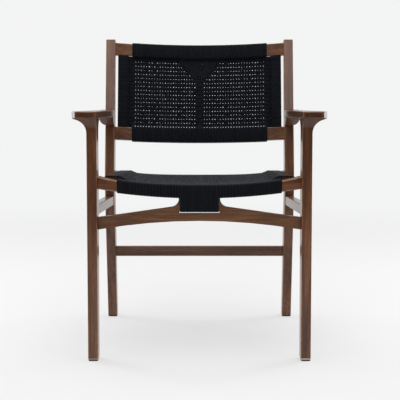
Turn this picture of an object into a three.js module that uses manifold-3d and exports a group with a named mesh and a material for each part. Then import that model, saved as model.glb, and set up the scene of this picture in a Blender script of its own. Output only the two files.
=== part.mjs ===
// Wooden armchair with a woven paper-cord seat and back.
// Millimetres, +Z up. The front faces -Y, left is -X. While the pieces are made, y = 0 is the
// front face of the front legs; the last lines slide the chair so that the origin is at the
// middle of its footprint box, on the floor.

import * as THREE from 'three';
import { mergeVertices } from 'three/addons/utils/BufferGeometryUtils.js';
import Module from 'manifold-3d';

const wasm = await Module();
wasm.setup();

// ---- driving dimensions ------------------------------------------------------------------

const GAP = 0.3; // clearance between neighbouring pieces
const PAST = 5; // how far a cutting shape runs on past what it cuts
const CORD = 3; // diameter of the paper cord
const ARC_STEPS = 4; // half the straight steps in each arc of an outline

const FOOT_Z = 3.3; // underside of the wooden feet, just above the glides' plates
const RIGHT_LEGS = [240, 350]; // x range that takes in everything at the right-hand legs

// armrests
const ARM_BOTTOM = 617;
const ARM_TOP_FRONT = 635;
const ARM_TOP_REAR = 638;
const ARM_FRONT_Y = -12;
const ARM_REAR_Y = 475;
const ARM_INNER_X = 256;
const ARM_WIDEST_X = 318;
const ARM_REAR_X = 297;
const ARM_BLOCK = { front: 412, lip: 4, bottom: 592, scoop: 26, round: 19 };

// front legs: two faces lean outward a little towards the floor
const LEG_DEPTH = 44;
const LEG_FOOT_DEPTH = 34;
const LEG_TAPER_TOP = 430; // the depth tapers below this height
const LEG_INNER_TOP = 256;
const LEG_OUTER_TOP = 281.5;
const LEG_LEAN = 3;
const LEG_HOLLOW = 600; // radius of the easing where the taper starts
const FLARE_RADIUS = 34;
const FLARE_LIP = 1;
const FLARE_FORWARD = 9;

// rear posts: a leg that kicks back, and a reclined upper post
const POST_INNER = 255.8;
const POST_OUTER = 283.6;
const POST_FOOT_Y = 477;
const POST_FOOT_DEPTH = 28;
const KNEE_Z = 420;
const KNEE_Y = 420;
const KNEE_DEPTH = 47;
const RECLINE = THREE.MathUtils.degToRad(11.5);
const POST_LENGTH = 441; // from the knee to the top, along the recline
const POST_TOP_DEPTH = 24;
const POST_TOP_ROUND = 4;
const POST_FRONT_BEND = 355; // radius of the bend in the post's front face
const POST_REAR_BEND = 300;

// seat frame
// Each long edge of a seat rail stands at z in the middle and rises towards the ends; `flat` is
// the share of the rise that is kept for the ends.
const FRONT_RAIL = {
  y0: 12,
  y1: 38,
  half: 256.4,
  underside: { z: 419.7, rise: 20.7, flat: 0 },
  top: { z: 448.5, rise: 24.8, flat: 0.44 },
};
const REAR_RAIL = {
  y0: 428,
  y1: 452,
  half: 255.5,
  underside: { z: 416.7, rise: 17.2, flat: 0.88 },
  top: { z: 440.7, rise: 17.2, flat: 0.88 },
};
const RAIL_STEPS = 24;
const SEAT_BAR = { x0: 210.5, x1: 239, frontTop: 469.5, rearTop: 455, height: 24 };
const SEAT_WRAP_HALF = 207.5; // the rails are wrapped in cord as far as this

// stretchers
const SIDE_STRETCHER = { x0: 257.6, x1: 283, frontTop: 399, rearTop: 379.5, height: 26.3 };
const FRONT_STRETCHER = { y0: 20, y1: 38, endTop: 367.7, endBottom: 336.8, half: 256.9 };
const ARCH = { apex: 380.8, radius: 1500 }; // its underside, rounded off below this apex
const HORN = { half: 52.3, foot: 396.3, fillet: 22, shoulder: 416, neck: 48.6, top: 419.2 };
const SLOT = { half: 51.2, z0: 377.7, z1: 383.7 };
const REAR_STRETCHER = { y0: 457, y1: 473, z0: 193, z1: 223.4 };

// back frame, in the reclined frame: y is the depth behind the posts' front face and z runs
// up the posts from the knee
const BACK_BOW = 40;
const BOW_STEPS = 24;
const BACK_RAIL = { y0: 3, y1: 21, half: 255.5 };
const TOP_RAIL = { z0: 393.5, z1: 431 };
const LOWER_RAIL = { z0: 133.5, z1: 173 };
const BACK_BAR = { x0: 219.5, x1: 244.7, y0: 5, y1: 19, tenonInset: 7 };
const BACK_WRAP_HALF = 204;
const BACK_FIELD = { half: 216, y0: 6, y1: 13 };

const TENON_LENGTH = 17;
const GLIDE = { inset: 1, round: 3, plate: 3, stemRadius: 2.5, stemTop: 14 };
const FRONT_FOOT = {
  x: (LEG_INNER_TOP + LEG_OUTER_TOP) / 2 + LEG_LEAN,
  y: LEG_FOOT_DEPTH / 2,
  width: LEG_OUTER_TOP - LEG_INNER_TOP,
  depth: LEG_FOOT_DEPTH,
};
const REAR_FOOT = {
  x: (POST_INNER + POST_OUTER) / 2,
  y: POST_FOOT_Y + POST_FOOT_DEPTH / 2,
  width: POST_OUTER - POST_INNER,
  depth: POST_FOOT_DEPTH,
};

// ---- materials ---------------------------------------------------------------------------

const wood = (color) => new THREE.MeshStandardMaterial({ color, roughness: 0.42, metalness: 0 });
const WALNUT = wood(0x5a3d30);
const DARK_WALNUT = wood(0x4a3128);
const BEECH = wood(0xb08a5c);
const BLACK_CORD = new THREE.MeshStandardMaterial({ color: 0x15161a, roughness: 0.8, metalness: 0 });
const NYLON = new THREE.MeshStandardMaterial({ color: 0x1c1a19, roughness: 0.5, metalness: 0 });

// ---- solids ------------------------------------------------------------------------------

function toSolid(geometry) {
  const bare = geometry.clone();
  bare.deleteAttribute('normal');
  bare.deleteAttribute('uv');
  const merged = mergeVertices(bare, 1e-4);
  return new wasm.Manifold(
    new wasm.Mesh({
      numProp: 3,
      vertProperties: new Float32Array(merged.attributes.position.array),
      triVerts: new Uint32Array(merged.index.array),
    }),
  );
}

function toGeometry(solid) {
  const result = solid.getMesh();
  const geometry = new THREE.BufferGeometry();
  geometry.setAttribute('position', new THREE.BufferAttribute(result.vertProperties, 3));
  geometry.setIndex(new THREE.BufferAttribute(result.triVerts, 1));
  geometry.computeVertexNormals();
  return geometry;
}

const combine = (operation) => (first, ...others) =>
  toGeometry(others.reduce((solid, other) => solid[operation](toSolid(other)), toSolid(first)));
const join = combine('add');
const cut = combine('subtract');
const common = combine('intersect');

function block(x0, x1, y0, y1, z0, z1, stepsX = 1, stepsY = 1) {
  const box = new THREE.BoxGeometry(x1 - x0, y1 - y0, z1 - z0, stepsX, stepsY, 1);
  return box.translate((x0 + x1) / 2, (y0 + y1) / 2, (z0 + z1) / 2);
}

function mirrored(geometry) {
  const copy = geometry.clone().scale(-1, 1, 1);
  const index = copy.index.array;
  for (let i = 0; i < index.length; i += 3) [index[i], index[i + 1]] = [index[i + 1], index[i]];
  return copy;
}

// Moves each vertex along one axis by an amount that depends on where it is.
function bent(geometry, axis, amount) {
  const points = geometry.attributes.position;
  const component = { y: 1, z: 2 }[axis];
  const point = new THREE.Vector3();
  for (let i = 0; i < points.count; i++) {
    point.fromBufferAttribute(points, i);
    points.setComponent(i, component, point[axis] + amount(point));
  }
  return geometry;
}

// ---- outlines ----------------------------------------------------------------------------

// A closed outline through corners [a, b, radius]; a corner with a radius becomes an arc.
function outline(corners) {
  const shape = new THREE.Shape();
  const at = (i) => new THREE.Vector2(...corners[(i + corners.length) % corners.length]);
  corners.forEach(([a, b, radius = 0], i) => {
    const here = new THREE.Vector2(a, b);
    const back = at(i - 1).sub(here).normalize();
    const ahead = at(i + 1).sub(here).normalize();
    const halfAngle = Math.acos(back.dot(ahead)) / 2;
    const start = here.clone().addScaledVector(back, radius / Math.tan(halfAngle));
    if (i === 0) shape.moveTo(start.x, start.y);
    else shape.lineTo(start.x, start.y);
    if (radius === 0) return;
    const end = here.clone().addScaledVector(ahead, radius / Math.tan(halfAngle));
    const toCentre = back.clone().add(ahead).normalize();
    const centre = here.clone().addScaledVector(toCentre, radius / Math.sin(halfAngle));
    const clockwise = back.cross(ahead) > 0;
    const from = start.clone().sub(centre).angle();
    shape.absarc(centre.x, centre.y, radius, from, end.clone().sub(centre).angle(), clockwise);
  });
  return shape;
}

// Height of a dipped edge at the share t of the way from the middle to the end.
const dipped = ({ z, rise, flat }, t) => z + rise * ((1 - flat) * t ** 2 + flat * t ** 4);

// A band that dips in the middle.
function saddle({ half, underside, top }, grow = 0) {
  const low = [];
  const high = [];
  for (let i = 0; i <= RAIL_STEPS; i++) {
    const t = (2 * i) / RAIL_STEPS - 1;
    low.push(new THREE.Vector2(half * t, dipped(underside, t) - grow));
    high.unshift(new THREE.Vector2(half * t, dipped(top, t) + grow));
  }
  return new THREE.Shape([...low, ...high]);
}

function extrude(shape, from, to, axes) {
  const options = { depth: to - from, bevelEnabled: false, curveSegments: ARC_STEPS };
  const geometry = mergeVertices(new THREE.ExtrudeGeometry(shape, options));
  return geometry.translate(0, 0, from).applyMatrix4(axes);
}

const unit = (x, y, z) => new THREE.Vector3(x, y, z);
const SIDE_AXES = new THREE.Matrix4().makeBasis(unit(0, 1, 0), unit(0, 0, 1), unit(1, 0, 0));
const FRONT_AXES = new THREE.Matrix4().makeBasis(unit(1, 0, 0), unit(0, 0, 1), unit(0, -1, 0));

const fromSide = (shape, x0, x1) => extrude(shape, x0, x1, SIDE_AXES); // outline in y, z
const fromFront = (shape, y0, y1) => extrude(shape, -y1, -y0, FRONT_AXES); // outline in x, z
const fromAbove = (shape, z0, z1) => extrude(shape, z0, z1, new THREE.Matrix4());

// Places a geometry made in the back's reclined frame.
function reclined(geometry) {
  return geometry.clone().rotateX(-RECLINE).translate(0, KNEE_Y, KNEE_Z);
}

// ---- joints ------------------------------------------------------------------------------

// A tenon's box and its mortise: the mortise is the same box with clearance all round.
const tenonBox = ([x0, x1, y0, y1, z0, z1]) => block(x0, x1, y0, y1, z0, z1);
const mortise = ([x0, x1, y0, y1, z0, z1]) =>
  block(x0 - GAP, x1 + GAP, y0 - GAP, y1 + GAP, z0 - GAP, z1 + GAP);

const sideTenon = (shoulder, y0, y1, z0, z1) => [shoulder - 2, shoulder + TENON_LENGTH, y0, y1, z0, z1];

const FRONT_RAIL_TENON = sideTenon(FRONT_RAIL.half, 18, 32, 450, 465);
const REAR_RAIL_TENON = sideTenon(REAR_RAIL.half, 433, 447, 440, 456);
const FRONT_STRETCHER_TENON = sideTenon(FRONT_STRETCHER.half, 24, 34, 344, 364);
const REAR_STRETCHER_TENON = sideTenon(REAR_RAIL.half, 460, 470, 198, 218);
const SIDE_STRETCHER_X = [265, 276];
const SIDE_STRETCHER_FRONT_TENON = [...SIDE_STRETCHER_X, LEG_DEPTH - 15, LEG_DEPTH + 4, 377, 393];
const SIDE_STRETCHER_REAR_TENON = [...SIDE_STRETCHER_X, 421, 447, 358, 373];
const BACK_TENON = (rail) => sideTenon(BACK_RAIL.half, 7, 17, rail.z0 + 6, rail.z1 - 6);
const SEAT_BAR_X = [217, 232];
const SEAT_BAR_FRONT_TENON = [...SEAT_BAR_X, FRONT_RAIL.y1 - 12, FRONT_RAIL.y1 + 4, 449, 461];
const SEAT_BAR_REAR_TENON = [...SEAT_BAR_X, REAR_RAIL.y0 - 4, REAR_RAIL.y0 + 12, 434, 446];

function rod(radius, length) {
  return new THREE.CylinderGeometry(radius, radius, length, 20);
}

// The dowel up into the arm from the leg's top, and the one back from the arm into the post.
const armFrontDowel = (grow = 0) =>
  rod(5 + grow, 32 + 2 * grow).rotateX(Math.PI / 2).translate(270, 22, ARM_BOTTOM - 2);
const armRearDowel = (grow = 0) => rod(4 + grow, 44 + 2 * grow).translate(270, 461, 627);

// ---- legs and posts ----------------------------------------------------------------------

// Outline of an arm seen from above.
function armPlan(inner, rear) {
  return outline([
    [inner, ARM_FRONT_Y, 3],
    [ARM_WIDEST_X - 11.5, ARM_FRONT_Y, 2],
    [ARM_WIDEST_X, 6, 14],
    [ARM_WIDEST_X - 2, 150, 500],
    [ARM_REAR_X, rear],
    [inner, rear],
  ]);
}

function frontLeg() {
  const top = ARM_BOTTOM - GAP;
  const flareTop = top - FLARE_LIP;
  const front = outline([
    [LEG_INNER_TOP + LEG_LEAN, FOOT_Z],
    [LEG_OUTER_TOP + LEG_LEAN, FOOT_Z],
    [LEG_OUTER_TOP, flareTop, FLARE_RADIUS],
    [LEG_OUTER_TOP + FLARE_RADIUS + FLARE_LIP, flareTop],
    [LEG_OUTER_TOP + FLARE_RADIUS + FLARE_LIP, top],
    [LEG_INNER_TOP, top],
  ]);
  const flareBack = LEG_DEPTH + FLARE_RADIUS;
  const side = outline([
    [0, FOOT_Z],
    [LEG_FOOT_DEPTH, FOOT_Z],
    [LEG_DEPTH, LEG_TAPER_TOP, LEG_HOLLOW],
    [LEG_DEPTH, flareTop, FLARE_RADIUS],
    [flareBack + FLARE_LIP, flareTop],
    [flareBack + FLARE_LIP, top],
    [-FLARE_FORWARD, top],
    [0, top - 2 * FLARE_FORWARD, FLARE_RADIUS],
  ]);
  const frontView = fromFront(front, -FLARE_FORWARD - PAST, flareBack + PAST);
  const underArm = fromAbove(armPlan(ARM_INNER_X - 2 * PAST, ARM_REAR_Y), 0, ARM_BOTTOM);
  const body = common(frontView, fromSide(side, ...RIGHT_LEGS), underArm);
  return cut(
    body,
    mortise(FRONT_RAIL_TENON),
    mortise(FRONT_STRETCHER_TENON),
    mortise(SIDE_STRETCHER_FRONT_TENON),
    armFrontDowel(GAP),
    glideStem(FRONT_FOOT, GAP),
  );
}

// Side outline of a rear post; `forward` moves its front face, to cut a neighbour clear of it.
function postOutline(forward = 0) {
  const along = new THREE.Vector2(Math.sin(RECLINE), Math.cos(RECLINE));
  const through = new THREE.Vector2(along.y, -along.x);
  const top = new THREE.Vector2(KNEE_Y, KNEE_Z).addScaledVector(along, POST_LENGTH);
  const topBack = top.clone().addScaledVector(through, POST_TOP_DEPTH);
  return outline([
    [POST_FOOT_Y - forward, FOOT_Z],
    [POST_FOOT_Y + POST_FOOT_DEPTH, FOOT_Z],
    [KNEE_Y + KNEE_DEPTH, KNEE_Z + 5, POST_REAR_BEND],
    [topBack.x, topBack.y, POST_TOP_ROUND],
    [top.x - forward, top.y, POST_TOP_ROUND],
    [KNEE_Y - forward, KNEE_Z, POST_FRONT_BEND],
  ]);
}

// What a piece that meets the post's front face is cut back by.
const postClearance = () => fromSide(postOutline(GAP), ...RIGHT_LEGS);

function rearPost() {
  return cut(
    fromSide(postOutline(), POST_INNER, POST_OUTER),
    mortise(REAR_RAIL_TENON),
    mortise(REAR_STRETCHER_TENON),
    mortise(SIDE_STRETCHER_REAR_TENON),
    reclined(mortise(BACK_TENON(TOP_RAIL))),
    reclined(mortise(BACK_TENON(LOWER_RAIL))),
    armRearDowel(GAP),
    glideStem(REAR_FOOT, GAP),
  );
}

// ---- arms --------------------------------------------------------------------------------

function armrest() {
  const side = outline([
    [ARM_FRONT_Y - PAST, ARM_BOTTOM],
    [ARM_REAR_Y + PAST, ARM_BOTTOM],
    [ARM_REAR_Y + PAST, ARM_TOP_REAR],
    [ARM_FRONT_Y - PAST, ARM_TOP_FRONT],
  ]);
  const plan = armPlan(ARM_INNER_X, ARM_REAR_Y);
  const slab = fromAbove(plan, ARM_BOTTOM - PAST, ARM_TOP_REAR + PAST);
  const board = common(slab, fromSide(side, ...RIGHT_LEGS));
  return cut(board, postClearance(), armFrontDowel(GAP), armRearDowel(GAP));
}

// The support under the arm's rear end, with a scooped front and a rounded outer corner.
function armBlock() {
  const { front, lip, bottom, scoop, round } = ARM_BLOCK;
  const rear = ARM_REAR_Y;
  const top = ARM_BOTTOM - GAP;
  const side = outline([
    [front, top],
    [front + 2, top - lip],
    [front + 25, bottom + 3, scoop],
    [front + 31, bottom],
    [rear, bottom],
    [rear, top],
  ]);
  const end = outline([
    [ARM_INNER_X, bottom],
    [ARM_REAR_X, bottom, round],
    [ARM_REAR_X, top],
    [ARM_INNER_X, top],
  ]);
  return cut(common(fromSide(side, ...RIGHT_LEGS), fromFront(end, front - PAST, rear)), postClearance());
}

// ---- seat frame and stretchers -----------------------------------------------------------

function saddleBar(rail, grow = 0) {
  return fromFront(saddle(rail, grow), rail.y0 - grow, rail.y1 + grow);
}

function seatFrontRail() {
  const barTenon = mortise(SEAT_BAR_FRONT_TENON);
  const tenon = tenonBox(FRONT_RAIL_TENON);
  return cut(join(saddleBar(FRONT_RAIL), tenon, mirrored(tenon)), barTenon, mirrored(barTenon));
}

function seatRearRail() {
  const barTenon = mortise(SEAT_BAR_REAR_TENON);
  const tenon = tenonBox(REAR_RAIL_TENON);
  return cut(join(saddleBar(REAR_RAIL), tenon, mirrored(tenon)), barTenon, mirrored(barTenon));
}

// A straight bar seen from the side, with a sloping top and underside.
function slopingBar({ x0, x1, frontTop, rearTop, height }, y0, y1, grow = 0) {
  const side = outline([
    [y0, frontTop - height - grow],
    [y1, rearTop - height - grow],
    [y1, rearTop + grow],
    [y0, frontTop + grow],
  ]);
  return fromSide(side, x0 - grow, x1 + grow);
}

function seatSideBar() {
  const bar = slopingBar(SEAT_BAR, FRONT_RAIL.y1 + GAP, REAR_RAIL.y0 - GAP);
  return join(bar, tenonBox(SEAT_BAR_FRONT_TENON), tenonBox(SEAT_BAR_REAR_TENON));
}

function sideStretcher() {
  const bar = slopingBar(SIDE_STRETCHER, LEG_DEPTH - 5, 440);
  const tenons = [tenonBox(SIDE_STRETCHER_FRONT_TENON), tenonBox(SIDE_STRETCHER_REAR_TENON)];
  const legClearance = block(...RIGHT_LEGS, 0, LEG_DEPTH + GAP, FOOT_Z, ARM_BOTTOM);
  return join(cut(bar, legClearance, postClearance()), ...tenons);
}

function frontStretcher() {
  const { half, endTop, endBottom, y0, y1 } = FRONT_STRETCHER;
  const right = [
    [half, endBottom],
    [half, endTop],
    [HORN.half, HORN.foot, HORN.fillet],
    [HORN.half, HORN.shoulder],
    [HORN.neck, HORN.shoulder],
    [HORN.neck, HORN.top],
  ];
  const left = right.map(([x, ...rest]) => [-x, ...rest]).reverse();
  const shape = outline([[0, ARCH.apex, ARCH.radius], ...right, ...left]);
  const slot = new THREE.Path();
  const slotRadius = (SLOT.z1 - SLOT.z0) / 2;
  const slotZ = (SLOT.z0 + SLOT.z1) / 2;
  slot.absarc(SLOT.half - slotRadius, slotZ, slotRadius, -Math.PI / 2, Math.PI / 2, false);
  slot.absarc(slotRadius - SLOT.half, slotZ, slotRadius, Math.PI / 2, (3 * Math.PI) / 2, false);
  shape.holes.push(slot);
  const tenon = tenonBox(FRONT_STRETCHER_TENON);
  return join(fromFront(shape, y0, y1), tenon, mirrored(tenon));
}

function rearStretcher() {
  const { y0, y1, z0, z1 } = REAR_STRETCHER;
  const tenon = tenonBox(REAR_STRETCHER_TENON);
  return join(block(-REAR_RAIL.half, REAR_RAIL.half, y0, y1, z0, z1), tenon, mirrored(tenon));
}

// ---- back frame --------------------------------------------------------------------------

// How far the back stands behind the straight line from post to post.
const bow = ({ x }) => BACK_BOW * Math.max(0, 1 - (x / BACK_RAIL.half) ** 2);

function bowedBlock(x0, x1, y0, y1, z0, z1, steps) {
  return bent(block(x0, x1, y0, y1, z0, z1, steps), 'y', bow);
}

function backRail(rail, barTenonZ) {
  const { half, y0, y1 } = BACK_RAIL;
  const bar = bowedBlock(-half, half, y0, y1, rail.z0, rail.z1, BOW_STEPS);
  const tenon = tenonBox(BACK_TENON(rail));
  const hole = backBarTenon(barTenonZ, GAP);
  return reclined(cut(join(bar, tenon, mirrored(tenon)), hole, mirrored(hole)));
}

// The short tenon between a back side bar and a rail, centred at the height z.
function backBarTenon(z, grow = 0) {
  const { x0, x1, y0, y1, tenonInset } = BACK_BAR;
  const side = tenonInset - grow;
  const deep = 3 - grow;
  const long = 12 + grow;
  return bowedBlock(x0 + side, x1 - side, y0 + deep, y1 - deep, z - long, z + long, 4);
}

function backSideBar() {
  const { x0, x1, y0, y1 } = BACK_BAR;
  const bar = bowedBlock(x0, x1, y0, y1, LOWER_RAIL.z1 + GAP, TOP_RAIL.z0 - GAP, 4);
  return reclined(join(bar, backBarTenon(LOWER_RAIL.z1), backBarTenon(TOP_RAIL.z0)));
}

// ---- small pieces ------------------------------------------------------------------------

function glideStem({ x, y }, grow = 0) {
  const top = GLIDE.stemTop + grow;
  const low = GLIDE.plate - 1;
  const stem = rod(GLIDE.stemRadius + grow, top - low).rotateX(Math.PI / 2);
  return stem.translate(x, y, (low + top) / 2);
}

// A plate a little smaller than the foot, on a stem that is pushed up into the leg.
function glide(foot) {
  const across = foot.width / 2 - GLIDE.inset;
  const deep = foot.depth / 2 - GLIDE.inset;
  const corners = [[-1, -1], [1, -1], [1, 1], [-1, 1]];
  const plate = outline(corners.map(([a, b]) => [foot.x + a * across, foot.y + b * deep, GLIDE.round]));
  return join(fromAbove(plate, 0, GLIDE.plate), glideStem(foot));
}

// ---- cord, as plain solids ---------------------------------------------------------------

const between = (x0, x1) => block(x0, x1, 0, REAR_STRETCHER.y1, REAR_STRETCHER.z1, ARM_BOTTOM);

function frontRailWrap() {
  const band = common(saddleBar(FRONT_RAIL, CORD), between(HORN.neck + 1, SEAT_WRAP_HALF));
  return cut(band, saddleBar(FRONT_RAIL, GAP));
}

// The cord round the rail and the stretcher's raised middle together, through the slot.
function frontCentreWrap() {
  const half = HORN.neck - 1;
  const railUnderside = FRONT_RAIL.underside.z;
  const top = FRONT_RAIL.top.z + CORD + 1;
  const low = SLOT.z1 - CORD;
  const side = outline([
    [FRONT_STRETCHER.y0 - CORD, low],
    [FRONT_STRETCHER.y1 + CORD, low],
    [FRONT_STRETCHER.y1 + CORD, top],
    [FRONT_RAIL.y0 - CORD, top],
    [FRONT_RAIL.y0 - CORD, railUnderside],
  ]);
  const { y0, y1 } = FRONT_STRETCHER;
  const middle = block(-half - PAST, half + PAST, y0 - GAP, y1 + GAP, SLOT.z1 - GAP, railUnderside + PAST);
  return cut(fromSide(side, -half, half), saddleBar(FRONT_RAIL, GAP), middle);
}

function rearRailWrap() {
  const band = common(saddleBar(REAR_RAIL, CORD), between(-SEAT_WRAP_HALF, SEAT_WRAP_HALF));
  return cut(band, saddleBar(REAR_RAIL, GAP));
}

function seatSideWrap() {
  const y0 = FRONT_RAIL.y1 + 2 * GAP;
  const y1 = REAR_RAIL.y0 - 2 * GAP;
  return cut(slopingBar(SEAT_BAR, y0, y1, CORD), slopingBar(SEAT_BAR, y0 - PAST, y1 + PAST, GAP));
}

// Height of a dipped rail's cord-covered top at x.
const wrapTop = ({ half, top }, x) => dipped(top, x / half) + CORD;

function seatField() {
  const half = SEAT_WRAP_HALF - CORD - 2 * GAP;
  const y0 = FRONT_RAIL.y1 + CORD + GAP;
  const y1 = REAR_RAIL.y0 - CORD - GAP;
  const thickness = 7;
  const sag = 6;
  const slab = block(-half, half, y0, y1, -thickness, 0, 12, 12);
  return bent(slab, 'z', ({ x, y }) => {
    const t = (y - y0) / (y1 - y0);
    const edge = wrapTop(FRONT_RAIL, x) * (1 - t) + wrapTop(REAR_RAIL, x) * t;
    return edge - sag * Math.sin(Math.PI * t) * (1 - (x / half) ** 2);
  });
}

function backRailWrap(rail) {
  const half = BACK_WRAP_HALF;
  const { y0, y1 } = BACK_RAIL;
  const sleeve = (grow, extra) =>
    bowedBlock(-half - extra, half + extra, y0 - grow, y1 + grow, rail.z0 - grow, rail.z1 + grow, BOW_STEPS);
  return reclined(cut(sleeve(CORD, 0), sleeve(GAP, PAST)));
}

function backSideWrap() {
  const { x0, x1, y0, y1 } = BACK_BAR;
  const low = LOWER_RAIL.z1 + 2 * GAP;
  const high = TOP_RAIL.z0 - 2 * GAP;
  const sleeve = (grow, extra) =>
    bowedBlock(x0 - grow, x1 + grow, y0 - grow, y1 + grow, low - extra, high + extra, 4);
  return reclined(cut(sleeve(CORD, 0), sleeve(GAP, PAST)));
}

function backField() {
  const { half, y0, y1 } = BACK_FIELD;
  const low = LOWER_RAIL.z1 + CORD + GAP;
  const high = TOP_RAIL.z0 - CORD - GAP;
  return reclined(bowedBlock(-half, half, y0, y1, low, high, BOW_STEPS));
}

// ---- assembly ----------------------------------------------------------------------------

const chair = new THREE.Group();

function add(name, geometry, material) {
  const mesh = new THREE.Mesh(geometry, material);
  mesh.name = name;
  chair.add(mesh);
}

// Adds a right-hand piece and its mirror image.
function addPair(name, geometry, material) {
  add(`${name}_left`, mirrored(geometry), material);
  add(`${name}_right`, geometry, material);
}

addPair('front_leg', frontLeg(), WALNUT);
addPair('rear_post', rearPost(), WALNUT);
addPair('armrest', armrest(), WALNUT);
addPair('arm_block', armBlock(), WALNUT);
add('seat_front_rail', seatFrontRail(), WALNUT);
add('seat_rear_rail', seatRearRail(), WALNUT);
addPair('seat_side_bar', seatSideBar(), WALNUT);
addPair('side_stretcher', sideStretcher(), DARK_WALNUT);
add('front_stretcher', frontStretcher(), DARK_WALNUT);
add('rear_stretcher', rearStretcher(), DARK_WALNUT);
add('back_top_rail', backRail(TOP_RAIL, TOP_RAIL.z0), WALNUT);
add('back_lower_rail', backRail(LOWER_RAIL, LOWER_RAIL.z1), WALNUT);
addPair('back_side_bar', backSideBar(), WALNUT);

addPair('arm_front_dowel', armFrontDowel(), BEECH);
addPair('arm_rear_dowel', armRearDowel(), BEECH);
addPair('front_glide', glide(FRONT_FOOT), NYLON);
addPair('rear_glide', glide(REAR_FOOT), NYLON);

add('seat_cord_field', seatField(), BLACK_CORD);
add('seat_front_cord_wrap_centre', frontCentreWrap(), BLACK_CORD);
addPair('seat_front_cord_wrap', frontRailWrap(), BLACK_CORD);
add('seat_rear_cord_wrap', rearRailWrap(), BLACK_CORD);
addPair('seat_side_cord_wrap', seatSideWrap(), BLACK_CORD);
add('back_cord_field', backField(), BLACK_CORD);
add('back_top_cord_wrap', backRailWrap(TOP_RAIL), BLACK_CORD);
add('back_lower_cord_wrap', backRailWrap(LOWER_RAIL), BLACK_CORD);
addPair('back_side_cord_wrap', backSideWrap(), BLACK_CORD);

const box = new THREE.Box3().setFromObject(chair);
chair.position.y = -(box.min.y + box.max.y) / 2;

export default chair;
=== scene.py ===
"""Wooden armchair with a woven cord seat and back: the looks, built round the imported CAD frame.

Every wooden piece is lofted through sections of its own CAD node, with its edges rounded. The
seat and back are woven cord by cord. Lengths are in metres; front is -Y and left is -X.
"""

import math

import bmesh
import bpy
import numpy as np
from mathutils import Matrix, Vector
from mathutils.bvhtree import BVHTree


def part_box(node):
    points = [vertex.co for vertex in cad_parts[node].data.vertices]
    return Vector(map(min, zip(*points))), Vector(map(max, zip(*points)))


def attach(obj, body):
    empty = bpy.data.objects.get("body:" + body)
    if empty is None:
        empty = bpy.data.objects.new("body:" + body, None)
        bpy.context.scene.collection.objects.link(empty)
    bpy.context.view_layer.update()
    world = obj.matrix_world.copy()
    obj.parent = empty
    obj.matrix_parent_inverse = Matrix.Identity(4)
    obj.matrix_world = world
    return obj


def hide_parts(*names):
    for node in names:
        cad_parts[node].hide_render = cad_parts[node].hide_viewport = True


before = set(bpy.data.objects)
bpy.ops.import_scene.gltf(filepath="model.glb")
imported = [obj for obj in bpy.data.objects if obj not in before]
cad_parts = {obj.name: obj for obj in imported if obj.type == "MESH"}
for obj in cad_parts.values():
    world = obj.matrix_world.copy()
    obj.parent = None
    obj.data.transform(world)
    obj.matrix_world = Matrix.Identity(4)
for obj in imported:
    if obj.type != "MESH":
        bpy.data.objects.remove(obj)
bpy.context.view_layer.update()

MM = 0.001
X, Y, Z = np.eye(3)
SIDES = ("left", "right")
TENON_LENGTH = 17 * MM
ARC_STEPS = 4  # in each rounded corner
RNG = np.random.default_rng(11)

# ---- camera, floor and light -------------------------------------------------------------------

GLIDE_INSET = 1 * MM  # from the foot's edge
LEG_FACE_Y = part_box("front_glide_left")[0].y - GLIDE_INSET  # front of the front feet
CAMERA_X = 1.4 * MM
CAMERA_DISTANCE = 2.142  # in front of the front legs
CAMERA_HEIGHT = 0.6434
CAMERA_TILT = math.radians(6.1)  # downwards
CAMERA_LENS = 77.4
BACKGROUND = (0.895, 0.905, 0.9, 1)
FLOOR = (0.285, 0.285, 0.285, 1)
FLOOR_GLOW = 1.83
FLOOR_FADE = (0.9, 3.6)  # the radii between which the floor fades out
SURROUND_FRONT, SURROUND_REAR = (-0.75, 0.1), (0.6, 1.1)  # (Y of the direction, light from there)
SOFTBOX_TARGET = (0, 0, 0.45)


def add_camera():
    camera = bpy.data.objects.new("camera", bpy.data.cameras.new("camera"))
    camera.data.lens = CAMERA_LENS
    camera.location = (CAMERA_X, LEG_FACE_Y - CAMERA_DISTANCE, CAMERA_HEIGHT)
    camera.rotation_euler = (math.pi / 2 - CAMERA_TILT, 0, 0)
    bpy.context.scene.collection.objects.link(camera)
    bpy.context.scene.camera = camera


def add_world():
    """A white surround. It lights the chair most from behind and least from the dark front."""
    world = bpy.data.worlds.new("studio")
    bpy.context.scene.world = world
    world.use_nodes = True
    nodes, links = world.node_tree.nodes, world.node_tree.links
    nodes.clear()
    seen = nodes.new("ShaderNodeBackground")
    seen.inputs["Color"].default_value = BACKGROUND
    direction = nodes.new("ShaderNodeTexCoord")
    parts = nodes.new("ShaderNodeSeparateXYZ")
    links.new(direction.outputs["Generated"], parts.inputs[0])
    (from_y, low), (to_y, high) = SURROUND_FRONT, SURROUND_REAR
    strength = ranged(nodes, links, parts.outputs["Y"], low, high, from_y, to_y, "SMOOTHSTEP")
    lit = nodes.new("ShaderNodeBackground")
    links.new(strength, lit.inputs["Strength"])
    ray = nodes.new("ShaderNodeLightPath")
    choice = nodes.new("ShaderNodeMixShader")
    links.new(ray.outputs["Is Camera Ray"], choice.inputs["Fac"])
    links.new(lit.outputs[0], choice.inputs[1])
    links.new(seen.outputs[0], choice.inputs[2])
    out = nodes.new("ShaderNodeOutputWorld")
    links.new(choice.outputs[0], out.inputs["Surface"])


def add_softbox(name, place, size, power):
    """An area light of this size in metres and power in watts, turned to the chair."""
    light = bpy.data.objects.new(name, bpy.data.lights.new(name, "AREA"))
    light.data.shape = "RECTANGLE"
    light.data.size, light.data.size_y = size
    light.data.energy = power
    light.location = place
    light.rotation_euler = (Vector(SOFTBOX_TARGET) - Vector(place)).to_track_quat("-Z", "Y").to_euler()
    bpy.context.scene.collection.objects.link(light)


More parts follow.
